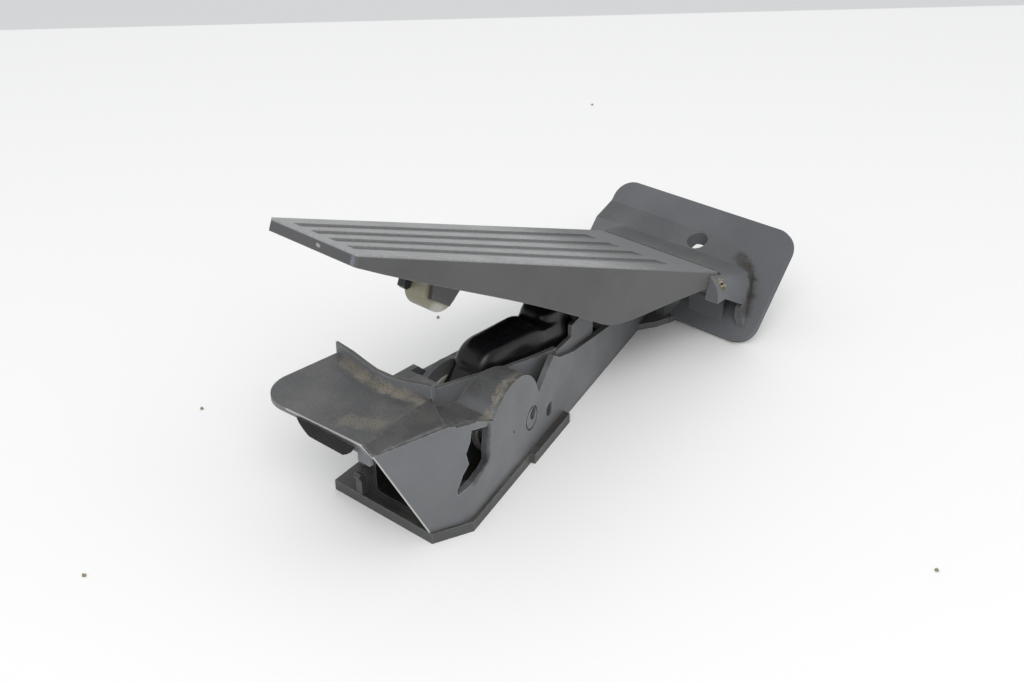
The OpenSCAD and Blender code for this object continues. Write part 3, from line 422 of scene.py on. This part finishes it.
# Dust along the foot of the guard's rib, and a patch of sand near its toe edge
rib_foot = [(0.0200, 0.1755, 0.050), (0.0080, 0.1778, 0.050), (-0.0060, 0.1790, 0.050),
            (-0.0120, 0.1780, 0.050), (-0.0215, 0.1765, 0.050)]
sand_patch = [(-0.0100, 0.2030, 0.050), (-0.0200, 0.1975, 0.050)]
# Sand on the rim of the drum and along the ledge
drum_rim = [(-0.0267, 0.1240, 0.0401), (-0.0302, 0.1370, 0.0443), (-0.0329, 0.1470, 0.0419),
            (-0.0345, 0.1530, 0.0376), (-0.0364, 0.1600, 0.0390), (-0.0380, 0.1700, 0.0439)]
# Dark brown on the slope round the hinge block's near corner: dirt on the slope, and painted shade where it
# curves down round the end
block_slope_dirt_and_shade = [(-0.0270, -0.0320, 0.0323), (-0.0320, -0.0293, 0.0293), (-0.0360, -0.0261, 0.0255),
               (-0.0388, -0.0218, 0.0206), (-0.0403, -0.0173, 0.0153)]
# Painted highlight along the edges of the toe panel and of the guard, and the dark rim of the leaf-shaped gap
panel_edge_highlight = [(-0.0364, 0.1890, 0.0045), (-0.0287, 0.2081, 0.0450), (-0.0259, 0.2104, 0.0500),
              (0.0120, 0.2120, 0.0500)]
gap_rim = [(-0.0385, 0.1590, 0.0370), (-0.0385, 0.1600, 0.0235), (-0.0405, 0.1690, 0.0205)]
# Painted shade: the heel end is painted a darker, cooler grey
painted_heel_shade = [(0.0450, -0.0430, 0.0400), (-0.0400, -0.0430, 0.0400), (-0.0440, -0.0200, 0.0160)]
base_patches = (
    chain(painted_heel_shade, 0.030, HEEL_SHADE_TONE, 0.55, 0.2) + chain(rib_foot, 0.0032, SAND, 0.75)
    + chain(sand_patch, 0.0050, SAND, 0.5) + chain(drum_rim, 0.0026, SAND, 0.7)
    + chain(block_slope_dirt_and_shade, 0.0042, BROWN_DIRT_AND_SHADE, 0.8, 0.5) + chain(gap_rim, 0.0030, DARK, 0.75, 0.4)
    # Painted highlight: a pale line along the toe panel's and the guard's edges
    + chain(panel_edge_highlight, 0.0007, PALE, 0.9, 0.0)
    + [((-0.0385, 0.0, 0.0345), (-0.0340, -0.0010, 0.0300), 0.0030, RUST, 0.7, 0.8)])
treadle_patches = [
    # The painted sheen on the top fades towards the heel; a curled scratch and a scuff at the toe corner
    ((-0.030, 0.004, 0.040), (0.030, 0.004, 0.040), 0.075, (0.125, 0.125, 0.126), 0.75, 0.15),
    ((-0.0030, 0.2041, 0.1186), (-0.0040, 0.2041, 0.1184), 0.0007, PALE, 0.6, 0.3),
    ((-0.0203, 0.2042, 0.1200), (-0.0206, 0.2042, 0.1165), 0.0012, (0.20, 0.22, 0.27), 0.7, 0.4)]

# %% [markdown]
# Each moulding has its own amounts. The pad's top is painted a light grey as painted sheen. It is told from
# its skirts by a plane along its slope, because its grooves' walls belong to the top as well.

# %% Finishes of the mouldings
PAD_SLOPE = math.radians(21.8)
PAD_TOP_LEVELS = (0.0356, 0.0362)
pad_square = (0, -math.sin(PAD_SLOPE), math.cos(PAD_SLOPE))
base_plastic = moulded_plastic("base_plastic", (0.132, 0.138, 0.146), roughness=0.5, dust=0.22, edges=0.5,
    dirt_and_shade=0.6, top=(0.082, 0.083, 0.085), patches=base_patches)
treadle_plastic = moulded_plastic("treadle_plastic", (0.070, 0.070, 0.072), roughness=0.42, dust=0.0,
    dirt_and_shade=0.15, edges=0.3, top=(0.275, 0.275, 0.276), top_plane=(pad_square, *PAD_TOP_LEVELS),
    patches=treadle_patches)
cover_plastic = moulded_plastic("cover_plastic", (0.062, 0.065, 0.068), roughness=0.5, dust=0.2, dirt_and_shade=0.7,
    edges=0.4, top=(0.032, 0.032, 0.032))
# Painted shade: the sloping strip is a darker grey than the base, as it faces away from the light
strip_shade_plastic = moulded_plastic("strip_shade_plastic", (0.052, 0.052, 0.053), roughness=0.55, dust=0.15, dirt_and_shade=0.7)
black_plastic = moulded_plastic("black_plastic", (0.014, 0.014, 0.015), roughness=0.45, dust=0.3)
hood_plastic = moulded_plastic("hood_plastic", (0.004, 0.004, 0.005), roughness=0.27, grain_height=0.000004,
    dust=0.0, dirt_and_shade=0.1, edges=0.0, specular=0.35)
milky_plastic = moulded_plastic("milky_plastic", (0.30, 0.285, 0.20), roughness=0.4, dust=0.3,
    patches=[((-0.007, 0.1513, 0.0722), (0.004, 0.1513, 0.0722), 0.006, (0.62, 0.60, 0.56), 0.85, 0.2)])
bearing_plastic = moulded_plastic("bearing_plastic", (0.55, 0.53, 0.48), roughness=0.4, dust=0.2)
board_laminate = moulded_plastic("board_laminate", (0.012, 0.075, 0.025), roughness=0.3, dust=0.1)
magnet_compound = moulded_plastic("magnet_compound", (0.03, 0.03, 0.033), roughness=0.55, dust=0.1)
bumper_rubber = moulded_plastic("bumper_rubber", (0.15, 0.15, 0.145), roughness=0.7, grains=1200.0, dust=0.6)
# Painted shade: black for the strip that stands in the shadow under the guard
shadow_black = moulded_plastic("shadow_black", (0.006, 0.006, 0.006), roughness=0.9, grains=1500.0,
    grain_height=0.00015, dust=0.1, edges=0.0)
print("moulded finishes:", len(bpy.data.materials))

# %% [markdown]
# ## Metal
# The pins, the screws and the spring wire are plain steel. Fine streaks along the bar and a little rust
# where water gets in tell it from grey plastic.

# %% Steel and bronze
def drawn_metal(name, colour, roughness, rust=0.0, streaks=1800.0, metallic=1.0):
    paint = bpy.data.materials.new(name)
    paint.use_nodes = True
    tree = paint.node_tree
    shader = tree.nodes["Principled BSDF"]
    shader.inputs["Metallic"].default_value = metallic
    place = tree.nodes.new("ShaderNodeTexCoord").outputs["Object"]
    stretched = node(tree, "ShaderNodeMapping", {"Vector": place, "Scale": (0.05, 1.0, 1.0)})
    line = node(tree, "ShaderNodeTexNoise", {"Vector": stretched.outputs[0], "Scale": streaks, "Detail": 2.0})
    stain = node(tree, "ShaderNodeTexNoise", {"Vector": place, "Scale": 240.0, "Detail": 6.0,
        "Roughness": 0.65})
    rusty = maths(tree, "MULTIPLY", ramp(tree, stain.outputs["Fac"], 0.45, 0.62), rust)
    mixed = mix_colour(tree, rusty, (*colour, 1), (0.20, 0.085, 0.03, 1))
    tree.links.new(mixed, shader.inputs["Base Color"])
    gloss = ramp(tree, line.outputs["Fac"], 0.3, 0.7, roughness - 0.08, roughness + 0.1)
    tree.links.new(mix(tree, "FLOAT", rusty, gloss, 0.85), shader.inputs["Roughness"])
    bump = node(tree, "ShaderNodeBump", {"Height": line.outputs["Fac"], "Strength": 0.6, "Distance": 0.00001})
    tree.links.new(bump.outputs["Normal"], shader.inputs["Normal"])
    return paint


pin_steel = drawn_metal("pin_steel", (0.50, 0.48, 0.44), 0.38, rust=0.75)
spring_steel = drawn_metal("spring_steel", (0.62, 0.61, 0.58), 0.4, rust=0.1, metallic=0.3)
screw_steel = drawn_metal("screw_steel", (0.50, 0.49, 0.45), 0.4, rust=0.3)
contact_brass = drawn_metal("contact_brass", (0.72, 0.55, 0.25), 0.25)
bush_bronze = drawn_metal("bush_bronze", (0.52, 0.38, 0.20), 0.4)

# %% [markdown]
# One table says which finish each solid gets. It is easier to check than a call for each solid.

# %% Give each solid its finish
finishes = {
    "base_frame": base_plastic, "bottom_cover": cover_plastic, "cover_screws": screw_steel,
    "hinge_pin": pin_steel, "pin_cap": pin_steel, "lever_shaft": pin_steel, "shaft_clip": spring_steel,
    "thrust_washers": bearing_plastic, "return_spring_outer": spring_steel,
    "return_spring_inner": spring_steel, "sensor_board": board_laminate, "sensor_chips": black_plastic,
    "connector_housing": black_plastic, "contact_pins": contact_brass, "landing_pad": bumper_rubber,
    "treadle": treadle_plastic, "slide_shoe": bearing_plastic, "stop_block": milky_plastic,
    "stop_clip": black_plastic, "drive_lever": hood_plastic, "lever_bush": bush_bronze,
    "spring_carrier": black_plastic, "magnet_ring": magnet_compound}
for name, paint in finishes.items():
    solids[name].data.materials.clear()
    solids[name].data.materials.append(paint)
print("solids with a finish:", len(finishes))

# %% [markdown]
# ## Softened edges
# A mould never gives a knife edge. A bevel modifier rounds every sharp edge of a solid a little, so that
# it catches light, and leaves the solid's own points alone.

# %% Small bevels on the moulded solids
def soften(name, width, angle=35):
    solid = solids[name]
    for face in solid.data.polygons:
        face.use_smooth = True
    bevel = solid.modifiers.new("soft_edges", "BEVEL")
    bevel.width = width
    bevel.segments = 2
    bevel.limit_method = "ANGLE"
    bevel.angle_limit = math.radians(angle)
    bevel.harden_normals = True


for name, width in {"treadle": 0.0005, "base_frame": 0.0003, "bottom_cover": 0.0004, "stop_block": 0.0006,
                    "stop_clip": 0.0005, "connector_housing": 0.0003, "spring_carrier": 0.0003,
                    "slide_shoe": 0.0004, "landing_pad": 0.0003}.items():
    soften(name, width)

# %% [markdown]
# The hood is one soft black skin, while its solid is built from hulls with creases. A fine remesh with
# some smoothing melts the creases and keeps the form.

# %% The lever's hood and neck as one smooth skin
skin = solids["drive_lever"].modifiers.new("one_skin", "REMESH")
skin.mode = "VOXEL"
skin.voxel_size = 0.0007
skin.use_smooth_shade = True
melt = solids["drive_lever"].modifiers.new("melt", "SMOOTH")
melt.factor = 0.5
melt.iterations = 14
print("hood voxel:", round(skin.voxel_size * 1000, 2), "mm")

# %% [markdown]
# ## Return springs in round wire
# A curve with a round section follows the same path and stands for them.

# %% Wire curves round the lever shaft
SHAFT = (0.137, 0.022)
HOOK = (0.1605, 0.030)
COIL_X = -0.0258


def ring(x0, pitch, centre, radius, start, sweep, step=8):
    """Points of a coil along X, from a start angle through a sweep, in degrees."""
    turns = [step * k for k in range(int(sweep / step) + 1)]
    return [(x0 + pitch * a / 360, centre[0] + radius * math.cos(math.radians(start + a)),
             centre[1] + radius * math.sin(math.radians(start + a))) for a in turns]


def round_wire(name, points, radius, solid):
    curve = bpy.data.curves.new(name, "CURVE")
    curve.dimensions = "3D"
    spline = curve.splines.new("POLY")
    spline.points.add(len(points) - 1)
    for knot, place in zip(spline.points, points):
        knot.co = (*place, 1)
    curve.bevel_depth = radius
    curve.bevel_resolution = 5
    curve.use_fill_caps = True
    curve.materials.append(spring_steel)
    wire = bpy.data.objects.new(name, curve)
    scene.collection.objects.link(wire)
    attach(wire, "base")
    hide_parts(solid)
    return wire


outer_path = (ring(COIL_X - 0.0009, 0, HOOK, 0.0042, -50, 250) + [(COIL_X - 0.0005, 0.152, 0.028)]
              + ring(COIL_X, 0.00195, SHAFT, 0.0115, 20, 720))
outer_spring = round_wire("outer_spring_wire", outer_path, 0.0009, "return_spring_outer")
inner_spring = round_wire("inner_spring_wire", ring(COIL_X - 0.0001, 0.0018, SHAFT, 0.008, 0, 720),
                          0.00075, "return_spring_inner")
print("wires:", outer_spring.name, inner_spring.name)

# %% [markdown]
# ## Small things that the photograph shows
# A black strip under the guard's toe edge is painted shade: it stands where the guard's underside lies
# in shadow. It is swept from one small section, which is lower in the middle than at its ends.

# %% Black strip of painted shade under the toe edge of the guard
def solid_piece(name, vertices, faces, paint, body="base"):
    mesh = bpy.data.meshes.new(name)
    mesh.from_pydata(vertices, [], faces)
    mesh.materials.append(paint)
    for face in mesh.polygons:
        face.use_smooth = True
    piece = bpy.data.objects.new(name, mesh)
    scene.collection.objects.link(piece)
    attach(piece, body)
    return piece


def swept(name, section, steps, paint):
    """A closed solid from rings of points: section(t) gives the ring at t, from 0 to 1."""
    rings = [section(i / steps) for i in range(steps + 1)]
    n = len(rings[0])
    vertices = [point for ring_points in rings for point in ring_points]
    faces = [(i * n + k, i * n + (k + 1) % n, (i + 1) * n + (k + 1) % n, (i + 1) * n + k)
             for i in range(steps) for k in range(n)]
    faces += [tuple(reversed(range(n))), tuple(range(steps * n, (steps + 1) * n))]
    return solid_piece(name, vertices, faces, paint)


GUARD_EDGE_Y, GUARD_TOP_Z = 0.212, 0.050


def shadow_strip_section(t):
    depth = 0.0058 * min(1.0, 5 * t, 5 * (1 - t)) ** 0.6 + 0.0002
    low = GUARD_TOP_Z - 0.0006 - depth
    profile = ((0.0001, GUARD_TOP_Z - 0.0006), (0.0004, GUARD_TOP_Z - 0.0008), (0.0005, low + 0.0004),
               (0.0003, low), (0.0001, low))
    return [(0.006 - 0.0300 * t, GUARD_EDGE_Y + out, z) for out, z in profile]


guard_shadow_strip = swept("guard_shadow_strip", shadow_strip_section, 28, shadow_black)
print("foam strip faces:", len(guard_shadow_strip.data.polygons))

# %% [markdown]
# The strip beside the guard twists, so its solid shows flat steps. A thin swept skin over it follows
# the twist smoothly. The skin's dark grey is painted shade, as the strip faces away from the light.

# %% Smooth skin over the sloping strip between the guard and the toe panel
STRIP_CORNERS = [Vector(c) for c in ((-0.0235, 0.1725, 0.0500), (-0.0259, 0.2104, 0.0500),
                                     (-0.02843, 0.2080, 0.0448), (-0.03934, 0.1810, 0.0488))]
SKIN_LIFT, SKIN_THICKNESS = 0.00012, 0.00025
SKIN_PARTS = 6


def strip_section(t):
    top_edge = STRIP_CORNERS[0].lerp(STRIP_CORNERS[1], t)
    low_edge = STRIP_CORNERS[3].lerp(STRIP_CORNERS[2], t)
    across = low_edge - top_edge
    square = (STRIP_CORNERS[1] - STRIP_CORNERS[0]).cross(across).normalized()
    if square.z < 0:
        square = -square
    outside = [top_edge + across * (k / SKIN_PARTS) + square * (SKIN_LIFT + SKIN_THICKNESS)
               for k in range(SKIN_PARTS + 1)]
    inside = [top_edge + across * (k / SKIN_PARTS) + square * SKIN_LIFT
              for k in range(SKIN_PARTS, -1, -1)]
    return outside + inside


strip_skin = swept("strip_skin", strip_section, 30, strip_shade_plastic)
print("strip skin faces:", len(strip_skin.data.polygons))

# %% [markdown]
# Grit has collected round the pin's end, and a few specks lie on the table. Real crumbs have no two
# alike, so each is a small ball that noise pushes out of round.

# %% Grit at the end of the hinge pin, and specks on the table
GRIT_DETAIL, GRIT_DEPTH = 1.3, 0.9
SPECK_RADIUS, SPECK_HEIGHT = 0.0007, 0.0004


def crumbs(places, seed):
    """Lumps of grit as one mesh: each is a small ball pushed out of round by noise."""
    lumps = bmesh.new()
    for n, (centre, size) in enumerate(places):
        made = bmesh.ops.create_icosphere(lumps, subdivisions=2, radius=size,
                                          matrix=Matrix.Translation(centre))
        for v in made["verts"]:
            out = v.co - Vector(centre)
            push = noise.noise(out * (GRIT_DETAIL / size) + Vector((n, seed, 0)))
            v.co = Vector(centre) + out * (1 + GRIT_DEPTH * push)
    return lumps


def crumb_object(name, places, seed):
    lumps = crumbs(places, seed)
    mesh = bpy.data.meshes.new(name)
    lumps.to_mesh(mesh)
    lumps.free()
    mesh.materials.append(grit_paint)
    made = bpy.data.objects.new(name, mesh)
    scene.collection.objects.link(made)
    return made


grit_paint = moulded_plastic("grit", (0.30, 0.26, 0.17), roughness=0.9, grains=3000.0, grain_height=0.0001,
    dust=0.2, dirt_and_shade=0.2, edges=0.0)
pin_grit = [((-0.0387, -0.0006, 0.0341), 0.0007), ((-0.0378, 0.0004, 0.0340), 0.0006),
            ((-0.0371, -0.0007, 0.0365), 0.0005), ((-0.0362, 0.0002, 0.0364), 0.0008),
            ((-0.0357, -0.0008, 0.0363), 0.0005), ((-0.0353, 0.0006, 0.0362), 0.0006)]
grit_piece = crumb_object("pin_grit", pin_grit, 3)
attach(grit_piece, "base")

table_specks = [(0.0808, 0.0618), (0.0443, 0.2851), (0.1016, 0.1871), (-0.187, 0.0796),
                (0.2044, -0.2143)]
specks_piece = crumb_object(
    "table_specks", [((x, y, SPECK_HEIGHT), SPECK_RADIUS) for x, y in table_specks], 8)
print("crumbs:", len(pin_grit), "on the pedal,", len(table_specks), "on the table")
